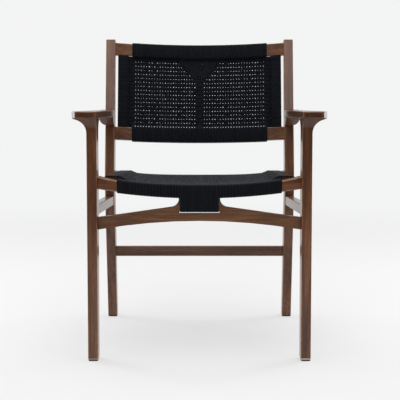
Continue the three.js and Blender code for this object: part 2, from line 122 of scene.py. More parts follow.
def add_lights():
    add_softbox("top_softbox", place=(0, -0.3, 3.2), size=(3.4, 3.0), power=70)
    add_softbox("front_softbox", place=(0, -3.4, 2.7), size=(2.6, 1.4), power=32)
    for side in (-1, 1):
        add_softbox("side_softbox", place=(2.6 * side, -1.9, 1.5), size=(1.4, 2.2), power=6)
        add_softbox("rim_softbox", place=(2.36 * side, 1.08, 1.1), size=(0.9, 2.0), power=24)


def add_floor():
    """A pale disc whose rim fades out, so that it runs into the surround without an edge."""
    bpy.ops.mesh.primitive_circle_add(vertices=96, radius=6, fill_type="NGON")
    floor = bpy.context.object
    floor.name = "floor"
    material, shader, nodes, links = new_material("floor", 0.9)
    shader.inputs["Base Color"].default_value = FLOOR
    shader.inputs["Emission Color"].default_value = FLOOR
    shader.inputs["Emission Strength"].default_value = FLOOR_GLOW
    place = nodes.new("ShaderNodeTexCoord")
    length = nodes.new("ShaderNodeVectorMath")
    length.operation = "LENGTH"
    links.new(place.outputs["Object"], length.inputs[0])
    fade = ranged(nodes, links, length.outputs["Value"], 1, 0, *FLOOR_FADE, "SMOOTHSTEP")
    links.new(fade, shader.inputs["Alpha"])
    floor.data.materials.append(material)


# ---- materials ---------------------------------------------------------------------------------


def new_material(name, roughness):
    material = bpy.data.materials.new(name)
    material.use_nodes = True
    nodes, links = material.node_tree.nodes, material.node_tree.links
    shader = nodes["Principled BSDF"]
    shader.inputs["Roughness"].default_value = roughness
    return material, shader, nodes, links


def scaled(nodes, links, source, scale):
    """The source vector with each axis scaled."""
    node = nodes.new("ShaderNodeVectorMath")
    node.operation = "MULTIPLY"
    node.inputs[1].default_value = scale
    links.new(source, node.inputs[0])
    return node.outputs[0]


def noise(nodes, links, vector, scale, detail=3.0, roughness=0.55, distortion=0.0):
    node = nodes.new("ShaderNodeTexNoise")
    node.inputs["Scale"].default_value = scale
    node.inputs["Detail"].default_value = detail
    node.inputs["Roughness"].default_value = roughness
    node.inputs["Distortion"].default_value = distortion
    links.new(vector, node.inputs["Vector"])
    return node.outputs[0]


def ramp(nodes, links, value, stops):
    """A colour ramp with stops of (position, colour)."""
    node = nodes.new("ShaderNodeValToRGB")
    elements = node.color_ramp.elements
    while len(elements) < len(stops):
        elements.new(0.5)
    for element, (position, colour) in zip(elements, stops):
        element.position = position
        element.color = (*colour, 1)
    links.new(value, node.inputs[0])
    return node.outputs[0]


def mixed(nodes, links, factor, first, second, blend="MIX"):
    """Two colours mixed; each may be a socket or a plain colour, and the factor a socket or number."""
    node = nodes.new("ShaderNodeMix")
    node.data_type = "RGBA"
    node.blend_type = blend
    for socket, value in ((node.inputs[0], factor), (node.inputs[6], first), (node.inputs[7], second)):
        if isinstance(value, bpy.types.NodeSocket):
            links.new(value, socket)
        else:
            socket.default_value = value if isinstance(value, float) else (*value, 1)
    return node.outputs[2]


def ranged(nodes, links, value, low, high, from_low=0.0, from_high=1.0, curve="LINEAR"):
    """The value taken from one range to another."""
    node = nodes.new("ShaderNodeMapRange")
    node.interpolation_type = curve
    node.inputs["From Min"].default_value = from_low
    node.inputs["From Max"].default_value = from_high
    node.inputs["To Min"].default_value = low
    node.inputs["To Max"].default_value = high
    links.new(value, node.inputs["Value"])
    return node.outputs[0]


def calculated(nodes, links, operation, *values):
    """The result of a Math node; each value may be a socket or a number."""
    node = nodes.new("ShaderNodeMath")
    node.operation = operation
    for socket, value in zip(node.inputs, values):
        if isinstance(value, bpy.types.NodeSocket):
            links.new(value, socket)
        else:
            socket.default_value = value
    return node.outputs[0]


def bump(nodes, links, height, distance, strength, below=None):
    node = nodes.new("ShaderNodeBump")
    node.inputs["Distance"].default_value = distance
    node.inputs["Strength"].default_value = strength
    links.new(height, node.inputs["Height"])
    if below is not None:
        links.new(below, node.inputs["Normal"])
    return node.outputs[0]


def attribute(nodes, name, output="Fac"):
    node = nodes.new("ShaderNodeAttribute")
    node.attribute_name = name
    return node.outputs[output]


FOOT_GLINT_COLOUR = (0.6, 0.47, 0.32)  # painted reflection of the bright floor on the lower rims of the front feet


def walnut(name, dark, middle, light, roughness, is_cad_node=False):
    """Oiled wood: broad colour bands, fine streaks and open pores, all drawn out along the grain."""
    material, shader, nodes, links = new_material(name, roughness)
    if is_cad_node:
        grain = nodes.new("ShaderNodeTexCoord").outputs["Object"]
    else:
        grain = attribute(nodes, "grain", "Vector")
    bands = noise(nodes, links, scaled(nodes, links, grain, (0.9, 14, 14)), 3.2, 4, 0.6, 0.8)
    streaks = noise(nodes, links, scaled(nodes, links, grain, (1.6, 70, 70)), 4.5, 5, 0.65, 0.3)
    pores = noise(nodes, links, scaled(nodes, links, grain, (9, 260, 260)), 5, 2, 0.5)
    ground = ramp(nodes, links, bands, [(0.3, dark), (0.5, middle), (0.72, light)])
    streak_tone = ramp(nodes, links, streaks, [(0.32, (0.5,) * 3), (0.62, (1.12,) * 3)])
    colour = mixed(nodes, links, 0.8, ground, streak_tone, "MULTIPLY")
    pore_tone = ramp(nodes, links, pores, [(0.36, (0.35,) * 3), (0.46, (1.0,) * 3)])
    colour = mixed(nodes, links, 0.65, colour, pore_tone, "MULTIPLY")
    patches = ranged(nodes, links, noise(nodes, links, grain, 60, 2), 0.05, 0.75, 0.35, 0.65)
    wear = calculated(nodes, links, "MULTIPLY", attribute(nodes, "edge"), patches)
    colour = mixed(nodes, links, wear, colour, [1.7 * c for c in light])
    # darkened towards the end grain's colour: real end grain on the caps, and painted shade on the legs
    # under the arms, on the arms and on their blocks
    end_grain_and_shade = ranged(nodes, links, attribute(nodes, "end"), 0.0, 0.75)
    colour = mixed(nodes, links, end_grain_and_shade, colour, [0.55 * c for c in dark])
    # painted reflection: the front feet's lower rims paled as if they mirrored the bright floor
    colour = mixed(nodes, links, attribute(nodes, "bare"), colour, FOOT_GLINT_COLOUR)
    links.new(colour, shader.inputs["Base Color"])
    links.new(ranged(nodes, links, streaks, roughness - 0.07, roughness + 0.09), shader.inputs["Roughness"])
    coarse = bump(nodes, links, streaks, 0.25 * MM, 0.25)
    links.new(bump(nodes, links, pores, 0.15 * MM, 0.35, coarse), shader.inputs["Normal"])
    shader.inputs["Specular IOR Level"].default_value = 0.36
    shader.inputs["Coat Weight"].default_value = 0.3
    shader.inputs["Coat Roughness"].default_value = 0.14
    return material


TWIST = 7 * MM  # the length of one turn of the cord's twist
PLIES = 3


def paper_cord():
    """Black twisted paper: plies running round the cord, with painted shade in the grooves between them,
    dusty in blotches, faintly waxed.

    The UV map "cord" holds the metres along the cord and the share of the way round it.
    """
    material, shader, nodes, links = new_material("paper_cord", 0.62)
    place = nodes.new("ShaderNodeUVMap")
    place.uv_map = "cord"
    parts = nodes.new("ShaderNodeSeparateXYZ")
    links.new(place.outputs[0], parts.inputs[0])
    turns = calculated(nodes, links, "MULTIPLY_ADD", parts.outputs["X"], 1 / TWIST, parts.outputs["Y"])
    phase = calculated(nodes, links, "MULTIPLY", turns, PLIES * 2 * math.pi)
    height = ranged(nodes, links, calculated(nodes, links, "SINE", phase), 0.0, 1.0, -1.0, 1.0)
    surface = nodes.new("ShaderNodeTexCoord").outputs["Object"]
    fibres = noise(nodes, links, surface, 900, 3)
    blotches = noise(nodes, links, surface, 35, 2)
    colour = mixed(nodes, links, attribute(nodes, "tone"), (0.002, 0.0022, 0.004), (0.0047, 0.0052, 0.0088))
    # painted shade, darkest in the grooves of the twist
    groove_shade = ramp(nodes, links, height, [(0.0, (0.45,) * 3), (0.6, (1.1,) * 3)])
    colour = mixed(nodes, links, 0.8, colour, groove_shade, "MULTIPLY")
    dust = ramp(nodes, links, blotches, [(0.35, (0.85,) * 3), (0.7, (1.25,) * 3)])
    colour = mixed(nodes, links, 0.7, colour, dust, "MULTIPLY")
    links.new(colour, shader.inputs["Base Color"])
    links.new(ranged(nodes, links, fibres, 0.52, 0.74, 0.3, 0.7), shader.inputs["Roughness"])
    twist = bump(nodes, links, height, 0.35 * MM, 0.7)
    links.new(bump(nodes, links, fibres, 0.1 * MM, 0.35, twist), shader.inputs["Normal"])
    shader.inputs["Specular IOR Level"].default_value = 0.2
    shader.inputs["Specular Tint"].default_value = (0.8, 0.86, 1, 1)
    shader.inputs["Sheen Weight"].default_value = 0.035
    shader.inputs["Sheen Roughness"].default_value = 0.35
    return material


def moulded_nylon():
    material, shader, nodes, links = new_material("nylon_glide", 0.5)
    surface = nodes.new("ShaderNodeTexCoord").outputs["Object"]
    mottle = noise(nodes, links, surface, 400, 3)
    colour = ramp(nodes, links, mottle, [(0.3, (0.009, 0.008, 0.008)), (0.7, (0.02, 0.018, 0.017))])
    links.new(colour, shader.inputs["Base Color"])
    links.new(ranged(nodes, links, mottle, 0.42, 0.6), shader.inputs["Roughness"])
    links.new(bump(nodes, links, mottle, 0.05 * MM, 0.4), shader.inputs["Normal"])
    return material


# ---- meshes ------------------------------------------------------------------------------------

HAIR = 0.001 * MM  # keeps a cut clear of the vertices
NUDGE = 0.02 * MM  # to either side of a bend
LEVEL_SPACING = 0.4 * MM
SAME_SECTION = 0.2 * MM  # sections that differ by less are drawn as one
CAP_MARGIN = 0.8 * MM
LEAST_RADIUS = 0.3 * MM
GLINT_HEIGHT = 3.6 * MM  # of the rim of a foot where the floor's reflection is painted
GLINT_FADE = 0.6 * MM
SHARP_ANGLE = math.radians(38)


def add_mesh(name, points, faces, material, replaced):
    """A mesh that rides on the chair's only body and stands for the CAD nodes in `replaced`."""
    mesh = bpy.data.meshes.new(name)
    mesh.from_pydata(points, [], faces)
    mesh.materials.append(material)
    piece = bpy.data.objects.new(name, mesh)
    bpy.context.scene.collection.objects.link(piece)
    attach(piece, "root")
    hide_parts(*replaced)
    return piece


def triangles(node):
    """The corners of a CAD node's triangles, as an array of (triangle, corner, xyz)."""
    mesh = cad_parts[node].data
    mesh.calc_loop_triangles()
    points = np.array([v.co for v in mesh.vertices])
    return points[np.array([t.vertices for t in mesh.loop_triangles])]


class Sections:
    """Cuts a CAD node across the axis `along`; `across` and `up` are measured in the cut."""

    def __init__(self, node, along, across, up):
        corners = triangles(node)
        self.axes = np.array([along, across, up])
        self.corners = corners @ self.axes.T
        self.low = self.corners[..., 0].min()
        self.high = self.corners[..., 0].max()

    def at(self, t):
        """(lowest across, highest across, lowest up, highest up) of the cut at t."""
        t += HAIR
        start = self.corners
        end = np.roll(self.corners, -1, axis=1)
        before, after = start[..., 0] - t, end[..., 0] - t
        crossing = before * after < 0
        share = (before[crossing] / (before[crossing] - after[crossing]))[:, None]
        cut = start[crossing][:, 1:] * (1 - share) + end[crossing][:, 1:] * share
        return np.array([cut[:, 0].min(), cut[:, 0].max(), cut[:, 1].min(), cut[:, 1].max()])

    def levels(self):
        """The places where the node's surface changes slope, thinned out."""
        found = []
        for t in np.unique(self.corners[..., 0].round(6)):
            if not found or t - found[-1] > LEVEL_SPACING:
                found.append(t)
        return found


def rounded_ring(section, radius):
    """Points round a rectangle with its corners rounded, and how near each is to a corner."""
    x0, x1, y0, y1 = section
    radius = min(radius, 0.49 * (x1 - x0), 0.49 * (y1 - y0))
    centres = ((x1 - radius, y1 - radius), (x0 + radius, y1 - radius),
               (x0 + radius, y0 + radius), (x1 - radius, y0 + radius))
    ring, edge = [], []
    for quarter, centre in enumerate(centres):
        for share in np.linspace(0, 1, ARC_STEPS + 1):
            angle = (quarter + share) * math.pi / 2
            ring.append((centre[0] + radius * math.cos(angle), centre[1] + radius * math.sin(angle)))
            edge.append(math.sin(math.pi * share))
    return np.array(ring), edge


def drawn_in(section, inset):
    """A section made smaller by the inset on every side."""
    return section + inset * np.array([1, -1, 1, -1])


def loft_stations(cut, radius, round_low, round_high):
    """(place along the axis, section, inset) for each ring. A rounded end draws its last rings in."""
    stations = []
    for level in cut.levels():
        sides = [cut.at(t) for t in (level - NUDGE, level + NUDGE) if cut.low < t < cut.high]
        if len(sides) == 2 and np.abs(sides[0] - sides[1]).max() < SAME_SECTION:
            sides = sides[:1]
        stations += [(level, side) for side in sides]
    bends = [radius * (1 - math.sin(a)) for a in np.linspace(0, math.pi / 2, 5)]
    for end, sign, wanted in ((cut.low, 1, round_low), (cut.high, -1, round_high)):
        if wanted:
            stations = [s for s in stations if abs(s[0] - end) > radius]
            stations += [(end + sign * d, cut.at(end + sign * max(d, NUDGE))) for d in bends]
    stations.sort(key=lambda s: s[0])
    drawn = []
    for t, section in stations:
        inset = 0
        for end, wanted in ((cut.low, round_low), (cut.high, round_high)):
            short = radius - abs(t - end)
            if wanted and short > 0:
                inset += radius - math.sqrt(max(radius**2 - short**2, 0))
        drawn.append((t, drawn_in(section, inset), inset))
    return drawn


def wooden(node, along, across, up, radius, material, round_low=False, round_high=False,
           shaded=lambda t: 0.0, bare=0.0):
    """A wooden piece: its CAD node's sections joined up, with every long edge rounded.

    One argument gives, for a place along the axis, how far the wood is darkened as painted shade;
    the last gives how far a painted reflection of the floor pales the bottom rim of a foot.
    """
    cut = Sections(node, along, across, up)
    stations = loft_stations(cut, radius, round_low, round_high)
    # rings where the painted reflection on a foot's rim fades out
    bare_top = cut.low + GLINT_HEIGHT
    if bare:
        stations += [(t, cut.at(t), 0) for t in (bare_top, bare_top + GLINT_FADE)]
        stations.sort(key=lambda s: s[0])
    # a second ring just inside each end face keeps the worn edge off it
    rings = [stations[0], *stations, stations[-1]]
    points, edges, ends, bares = [], [], [], []
    for number, (t, section, inset) in enumerate(rings):
        is_cap = number in (0, len(rings) - 1)
        if is_cap:
            section = drawn_in(section, CAP_MARGIN)
        ring, edge = rounded_ring(section, max(radius - inset, LEAST_RADIUS))
        points += [(t, a, b) for a, b in ring]
        edges += [0.0 if is_cap else max(e, min(1.0, inset / radius)) for e in edge]
        # painted shade along the piece where one is given; the caps are real end grain
        ends += [1.0 if is_cap else shaded(t)] * len(ring)
        # the painted reflection of the floor on the foot's rim
        bares += [bare if t <= bare_top else 0.0] * len(ring)
    count = len(ring)
    faces = [tuple(range(count))[::-1]]
    for first in range(0, (len(rings) - 1) * count, count):
        for i in range(count):
            j = (i + 1) % count
            faces.append((first + i, first + j, first + count + j, first + count + i))
    faces.append(tuple(range(len(points) - count, len(points))))
    local = np.array(points)
    piece = add_mesh(node + "_wood", (local @ cut.axes).tolist(), faces, material, [node])
    finish_wood(piece, local, edge=edges, end=ends, bare=bares)
    return piece


def finish_wood(piece, local, **amounts):
    """Attributes for the grain, the worn edges, the end grain with the painted shade, the painted
    reflection on a foot's rim, and clean shading.
    """
    mesh = piece.data
    grain = mesh.attributes.new("grain", "FLOAT_VECTOR", "POINT")
    grain.data.foreach_set("vector", (local + RNG.uniform(-3, 3, 3)).ravel())
    for name, values in amounts.items():
        mesh.attributes.new(name, "FLOAT", "POINT").data.foreach_set("value", values)
    mesh.shade_smooth()
    mesh.set_sharp_from_angle(angle=SHARP_ANGLE)
    weights = piece.modifiers.new("even_faces", "WEIGHTED_NORMAL")
    weights.keep_sharp = True
    weights.weight = 60


MERGE_DISTANCE = 0.01 * MM
FLAT_ANGLE = math.radians(0.5)
EDGE_ANGLE = math.radians(30)
STEP_DEPTH = 3.5 * MM  # the stretcher's steps, hidden under the seat rail
LARGE_FACE = 400 * MM * MM
STRETCHER_WEAR = 0.7


def bevelled_stretcher(node, radius, material):
    """The front stretcher has a slot through it, so its CAD mesh is bevelled instead of lofted."""
    shaped = bmesh.new()
    shaped.from_mesh(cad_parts[node].data)
    bmesh.ops.remove_doubles(shaped, verts=shaped.verts, dist=MERGE_DISTANCE)
    bmesh.ops.dissolve_limit(shaped, angle_limit=FLAT_ANGLE, verts=shaped.verts, edges=shaped.edges)
    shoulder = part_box("seat_front_rail")[1].x - TENON_LENGTH
    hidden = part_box(node)[1].z - STEP_DEPTH
    long_edges = [
        e for e in shaped.edges
        if e.is_manifold and e.calc_face_angle() > EDGE_ANGLE
        and min(abs(v.co.x) for v in e.verts) < shoulder - MM
        and max(v.co.z for v in e.verts) < hidden
    ]
    bmesh.ops.bevel(
        shaped, geom=long_edges, offset=radius, offset_type="OFFSET", segments=3, profile=0.5,
        affect="EDGES", clamp_overlap=True,
    )
    points = [tuple(v.co) for v in shaped.verts]
    faces = [tuple(v.index for v in f.verts) for f in shaped.faces]
    edges = [
        0.0 if any(f.calc_area() > LARGE_FACE for f in v.link_faces) else STRETCHER_WEAR
        for v in shaped.verts
    ]
    shaped.free()
    piece = add_mesh(node + "_wood", points, faces, material, [node])
    finish_wood(piece, np.array(points), edge=edges)


# ---- wooden pieces -----------------------------------------------------------------------------

ARM_CORNER = (11.5 * MM, 18 * MM)  # width and depth cut off each arm's outer front corner

# How far the wood is darkened towards its end grain's colour as painted shade, and where a front
# leg's painted shade under its arm starts and is full, measured down from the arm.
ARM_SHADE = 0.65
BLOCK_SHADE = 0.35
LEG_SHADE = 0.6
LEG_SHADE_RUN = (60 * MM, 10 * MM)
FOOT_GLINT = {"left": 0.4, "right": 1.0}  # how strongly the painted reflection of the floor pales the rims of the front feet


def middle_of(node):
    low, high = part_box(node)
    return np.array((low + high) / 2)


# Up the reclined back, from rail to rail, and the direction of its depth.
UP_BACK = middle_of("back_top_rail") - middle_of("back_lower_rail")
UP_BACK /= np.linalg.norm(UP_BACK)
DEPTH_BACK = np.cross(UP_BACK, X)


def trim_to_arm(leg, side):
    """Cuts the flared top of a front leg back to the slanting front corner of its arm."""
    low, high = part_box("armrest_" + side)
    sign, outer = (1, high.x) if side == "right" else (-1, low.x)
    width, depth = ARM_CORNER
    corner = Vector((outer - sign * width, low.y, 0))
    outward = Vector((sign * depth, -width, 0)).normalized()
    shaped = bmesh.new()
    shaped.from_mesh(leg.data)
    cut = bmesh.ops.bisect_plane(
        shaped, geom=shaped.verts[:] + shaped.edges[:] + shaped.faces[:], plane_co=corner,
        plane_no=outward, clear_outer=True,
    )
    rim = [e for e in cut["geom_cut"] if isinstance(e, bmesh.types.BMEdge)]
    bmesh.ops.holes_fill(shaped, edges=rim)
    shaped.to_mesh(leg.data)
    shaped.free()
    leg.data.set_sharp_from_angle(angle=SHARP_ANGLE)


def leg_shade(z):
    """How far a front leg is darkened towards its arm, as painted shade under it."""
    start, full = LEG_SHADE_RUN
    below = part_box("armrest_left")[0].z - z
    return LEG_SHADE * smooth((start - below) / (start - full))


def add_wood():
    body = walnut("walnut", (0.082, 0.029, 0.011), (0.16, 0.06, 0.024), (0.25, 0.104, 0.044), 0.3)
    pale = walnut("walnut_stretcher", (0.092, 0.035, 0.014), (0.163, 0.066, 0.029),
                  (0.24, 0.112, 0.05), 0.32)
    for side in SIDES:
        # a front leg gets painted shade under its arm and a painted reflection of the floor on its foot's
        # rim
        leg = wooden("front_leg_" + side, Z, X, Y, 2 * MM, body, round_low=True,
                     shaded=leg_shade, bare=FOOT_GLINT[side])
        trim_to_arm(leg, side)
        wooden("rear_post_" + side, UP_BACK, X, DEPTH_BACK, 2.5 * MM, body, round_high=True)
        # the arms and the blocks under them are darkened all over as painted shade
        wooden("armrest_" + side, Y, Z, X, 3 * MM, body, round_low=True,
               shaded=lambda y: ARM_SHADE)
        wooden("arm_block_" + side, Z, X, Y, 2 * MM, body, round_low=True,
               shaded=lambda z: BLOCK_SHADE)
        wooden("side_stretcher_" + side, Y, Z, X, 2.5 * MM, pale)
    for rail in ("seat_front_rail", "seat_rear_rail"):
        wooden(rail, X, Y, Z, 5 * MM, body)
    for rail in ("back_top_rail", "back_lower_rail"):
        wooden(rail, X, DEPTH_BACK, UP_BACK, 3 * MM, body)
    wooden("rear_stretcher", X, Y, Z, 2.5 * MM, pale)
    bevelled_stretcher("front_stretcher", 2.5 * MM, pale)


def finish_cad_nodes():
    """Materials for the CAD pieces that stay: the bars inside the cord, the dowels and the glides."""
    # the bars inside the cord get a darker copy of the walnut: painted shade
    inner = walnut("walnut_in_shade", (0.03, 0.014, 0.009), (0.06, 0.032, 0.02), (0.1, 0.06, 0.036), 0.5, True)
    beech = walnut("beech_dowel", (0.3, 0.17, 0.08), (0.42, 0.26, 0.13), (0.5, 0.33, 0.18), 0.5, True)
    nylon = moulded_nylon()
    for side in SIDES:
        for node, material in (
            ("seat_side_bar_", inner), ("back_side_bar_", inner), ("arm_front_dowel_", beech),
            ("arm_rear_dowel_", beech), ("front_glide_", nylon), ("rear_glide_", nylon),
        ):
            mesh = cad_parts[node + side].data
            mesh.materials.clear()
            mesh.materials.append(material)


# ---- cord --------------------------------------------------------------------------------------

CORD = 2.9 * MM
OFF = CORD / 2 + 0.3 * MM  # from a wooden face to the middle of the cord that lies on it
CORD_SIDES = 6
LIFT = CORD / 2  # how far a woven cord swings either side of the field's middle surface
TURN = OFF + 2 * MM  # radius of a cord's turn round a bar's edge
WRAP_WIDTH = 3.3 * MM  # a cord flattens a little where it is wrapped or woven
WOVEN_WIDTH = 3.95 * MM

# Small square gaps stay open in the weave: between pairs of cords that run up the back or
# towards the rear of the seat, and between threes of cords that run from side to side.
COLUMN = 8.2 * MM  # from gap to gap
FIRST_COLUMN = 14.6 * MM
COLUMNS = 23
PAIR = (0.305, 0.695)  # where the two cords stand between one gap and the next
THREE = (0.226, 0.5, 0.774)
MIDDLE_CORDS = 9  # the middle has no gaps
CLOSE_PITCH = 3.05 * MM  # about the pitch of the cords beyond the last gap
ROW = 12.4 * MM  # from gap to gap the other way
STEPS_PER_ROW = 5
STEPS_PER_COLUMN = 4

# How long a cord takes to pass from a rail or side bar into the weave, and to spread there.
FROM_BAR = 9 * MM
FROM_BACK_RAIL = 10 * MM
FROM_SEAT_RAIL = 14 * MM
SPREAD = 8 * MM
SEAT_SPREAD = 12 * MM

# How far the cords stray sideways, as hand weaving leaves them.
COLUMN_SWAY = 0.42 * MM
ROW_SWAY = 0.28 * MM
HIDDEN_SWAY = 0.1 * MM
LONG_SWAY, SHORT_SWAY = 61 * MM, 23 * MM  # wavelengths
CREST = 0.5  # the lower, the flatter the weave's crests


def flat_wave(turns):
    """A sine wave with flattened crests of height 1, one half wave for each turn."""
    height = np.sin(np.pi * turns)
    return math.sqrt(1 + CREST**2) * height / np.sqrt(height**2 + CREST**2)


def smooth(value):
    """From 0 to 1 with a gentle start and end."""
    value = np.clip(value, 0, 1)
    return value * value * (3 - 2 * value)


def cord_width(woven):
    """The cord's width where it is wrapped, 0, to where it is woven, 1."""
    return WRAP_WIDTH + (WOVEN_WIDTH - WRAP_WIDTH) * woven


def rounded(corners, radius, closed=False):
    """The path through the corners, each inner corner turned into an arc."""
    corners = np.array(corners, float)
    path = []
    for i, here in enumerate(corners):
        if not closed and i in (0, len(corners) - 1):
            path.append(here)
            continue
        back = corners[i - 1] - here
        ahead = corners[(i + 1) % len(corners)] - here
        back, ahead = back / np.linalg.norm(back), ahead / np.linalg.norm(ahead)
        half = math.acos(np.clip(back @ ahead, -1, 1)) / 2
        bisector = (back + ahead) / np.linalg.norm(back + ahead)
        centre = here + bisector * radius / math.sin(half)
        start = here + back * radius / math.tan(half) - centre
        end = here + ahead * radius / math.tan(half) - centre
        for t in np.linspace(0, 1, ARC_STEPS + 1):
            spoke = start * (1 - t) + end * t
            path.append(centre + spoke * radius / np.linalg.norm(spoke))
    return np.array(path)


class Cords:
    """A bundle of cords that becomes one mesh."""

    def __init__(self):
        self.points, self.faces, self.places, self.tones = [], [], [], []
        self.total = 0

    def add(self, path, normal, closed=False, width=WRAP_WIDTH):
        """A cord along a path that lies nearly in the plane with this normal.

        The width is across that plane, and may differ from point to point: a woven cord spreads.
        """
        path = np.asarray(path)
        width = np.broadcast_to(width, len(path))[:, None, None]
        count, sides = len(path), CORD_SIDES
        if closed:
            ahead, behind = np.roll(path, -1, axis=0), np.roll(path, 1, axis=0)
        else:
            ahead, behind = np.vstack((path[1:], path[-1:])), np.vstack((path[:1], path[:-1]))
        tangent = ahead - behind
        tangent /= np.linalg.norm(tangent, axis=1)[:, None]
        out = np.cross(normal, tangent)
        out /= np.linalg.norm(out, axis=1)[:, None]
        side = np.cross(tangent, out)
        angle = (np.arange(sides) + 0.5) * 2 * np.pi / sides
        rings = path[:, None] + CORD / 2 * np.cos(angle)[:, None] * out[:, None]
        rings += width / 2 * np.sin(angle)[:, None] * side[:, None]
        steps = np.linalg.norm(ahead - path, axis=1)
        along = np.concatenate(([0], np.cumsum(steps)))
        rows = count if closed else count - 1
        i, j = np.meshgrid(np.arange(rows), np.arange(sides), indexing="ij")
        following, beside = (i + 1) % count, (j + 1) % sides
        quads = np.stack((i * sides + j, i * sides + beside, following * sides + beside,
                          following * sides + j), -1).reshape(-1, 4)
        u = np.stack((along[i], along[i], along[i + 1], along[i + 1]), -1)
        v = np.stack((j, j + 1, j + 1, j), -1) / sides
        self.faces.append(quads + self.total)
        self.places.append(np.stack((u, v), -1).reshape(-1, 2))
        if not closed:
            cap = np.array([(0, k + 1, k + 2, k + 3) for k in range(0, sides - 2, 2)])
            for ends in (cap[:, ::-1], cap + (count - 1) * sides):
                self.faces.append(ends + self.total)
                self.places.append(np.zeros((ends.size, 2)))
        self.points.append(rings.reshape(-1, 3))
        self.tones.append(np.full(count * sides, RNG.uniform()))
        self.total += count * sides

    def piece(self, name, material, replaced):
        """Makes the mesh, with the places along the cords and each cord's tone."""
        faces = np.concatenate(self.faces)
        made = add_mesh(name, np.concatenate(self.points).tolist(), faces.tolist(), material,
                        replaced)
        place = made.data.uv_layers.new(name="cord")
        place.data.foreach_set("uv", np.concatenate(self.places).ravel())
        tone = made.data.attributes.new("tone", "FLOAT", "POINT")
        tone.data.foreach_set("value", np.concatenate(self.tones))
        made.data.shade_smooth()


def sway(places, amount):
    """How far a cord strays sideways along its length."""
    phase = RNG.uniform(0, 2 * np.pi, 2)
    slow = np.sin(places * 2 * np.pi / LONG_SWAY + phase[0])
    fast = np.sin(places * 2 * np.pi / SHORT_SWAY + phase[1])
    return amount * (0.4 * slow + fast + RNG.uniform(-0.6, 0.6))


def wrapping(a0, a1, b0, b1):
    """A cord's closed way round a rail whose wrapped section spans a0 to a1 and b0 to b1."""
    return rounded([(a0, b0), (a0, b1), (a1, b1), (a1, b0)], TURN, closed=True)


def column_cords(limit):
    """(place, is a gap) for each cord position across the width, left to right.

    Beyond the last gap the cords lie close together.
    """
    inner = FIRST_COLUMN - COLUMN * PAIR[0]
    places = [(x, False) for x in np.linspace(-inner, inner, MIDDLE_CORDS)]
    for column in range(COLUMNS):
        for share in (0, *PAIR):
            x = FIRST_COLUMN + (column + share) * COLUMN
            places += [(x, share == 0), (-x, share == 0)]
    start, end = x, limit - CORD / 2
    for x in np.linspace(start, end, round((end - start) / CLOSE_PITCH) + 1)[1:]:
        places += [(x, False), (-x, False)]
    return sorted(places)


def row_cords(first, rows, low, high):
    """(place, is a gap) for each cord position along the field."""
    places = []
    for row in range(-2, rows + 2):
        for share in (0, *THREE):
            place = first + (row + share) * ROW
            if low + CORD / 2 < place < high - CORD / 2:
                places.append((place, share == 0 and 0 <= row < rows))
    return places


# Where a weft changes from over to under: between threes of the middle cords, at each gap, and
# then between pairs of the close cords.
LAST_COLUMN = FIRST_COLUMN + (COLUMNS - 1) * COLUMN
CLOSE_PAIRS = 8
CHANGES = np.array([
    FIRST_COLUMN / 3,
    *np.arange(COLUMNS) * COLUMN + FIRST_COLUMN,
    *np.arange(1, CLOSE_PAIRS + 1) * 2 * CLOSE_PITCH + LAST_COLUMN,
])
CHANGES = np.concatenate((-CHANGES[::-1], CHANGES))


def column_index(x):
    """Counts the changes from the left as x passes them, evenly in between."""
    return np.interp(x, CHANGES, np.arange(len(CHANGES)))


def over_under(group):
    """1 for every other group of cords and -1 for the groups between them."""
    return 1 if int(math.floor(group)) % 2 else -1


# ---- the back ----------------------------------------------------------------------------------

FIRST_ROW = 5 * MM  # the first row of gaps above the lower rail
ROWS_BACK = 17
V_ROWS = 12  # from this row up, the middle is covered by cords that skip the weave
V_SLOPE = 1.15
V_START = 4 * MM  # how far below the V's edge its cords come forward between the others
BOW_POINTS = 49


class Back:
    """The back's rails in the reclined directions: x, depth and height."""

    def __init__(self):
        top = Sections("back_top_rail", X, DEPTH_BACK, UP_BACK)
        lower = Sections("back_lower_rail", X, DEPTH_BACK, UP_BACK)
        field = Sections("back_cord_field", X, DEPTH_BACK, UP_BACK)
        half = top.high - TENON_LENGTH - MM
        self.xs = np.linspace(-half, half, BOW_POINTS)
        self.fronts = np.array([top.at(x)[0] for x in self.xs])
        rail, slab = top.at(MM), field.at(MM)
        self.thickness = rail[1] - rail[0]
        self.top_low, self.top_high = rail[2:]
        self.low, self.high = lower.at(MM)[2:]
        self.middle = (slab[0] + slab[1]) / 2 - rail[0]
        self.half = field.high
        self.wrap_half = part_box("back_top_cord_wrap")[1].x
        bar = triangles("back_side_bar_right").reshape(-1, 3)
        depth = bar @ DEPTH_BACK - self.front(bar[:, 0])
        self.bar = (bar[:, 0].min(), bar[:, 0].max(), depth.min(), depth.max())
        self.first_row = self.high + FIRST_ROW

    def front(self, x):
        """Depth of the rails' bowed front face at x."""
        return np.interp(x, self.xs, self.fronts)

    def place(self, x, depth, height):
        """Points from x, depth behind the rails' front face, and height up the back."""
        x, depth, height = np.broadcast_arrays(x, depth, height)
        depth = depth + self.front(x)
        return x[:, None] * X + depth[:, None] * DEPTH_BACK + height[:, None] * UP_BACK

    def row_index(self, height):
        return (height - self.first_row) / ROW

    def v_edge(self, x):
        """The height above which the cords at x run free in front of the weave."""
        return self.first_row + V_ROWS * ROW + V_SLOPE * np.maximum(np.abs(x) - FIRST_COLUMN, 0)


